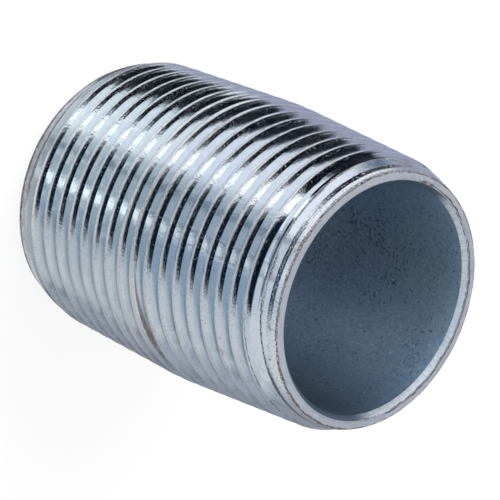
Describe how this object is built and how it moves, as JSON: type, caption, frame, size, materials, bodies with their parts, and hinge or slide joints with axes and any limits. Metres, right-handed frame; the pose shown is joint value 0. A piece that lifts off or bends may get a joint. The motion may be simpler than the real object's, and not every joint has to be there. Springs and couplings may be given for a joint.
{
  "type": "conduit nipple",
  "caption": "Short steel tube with an outside thread over its whole length, chamfered ends and an open bore, for joining two threaded conduit fittings close together.",
  "frame": {"origin": "centre of the lower end face, which is the centre of the bottom of the bounding box", "axes": "+Z along the tube's axis, from the lower end face to the upper one. +X and +Y are free, as the tube is round."},
  "size_m": [0.0266, 0.0266, 0.0349],
  "materials": {
    "zinc_plated_steel": "bright zinc plating with a faint blue cast, glossy thread flanks, rougher crests, dull bore"
  },
  "bodies": {
    "root": {"nipple_body": "zinc_plated_steel"}
  },
  "joints": []
}
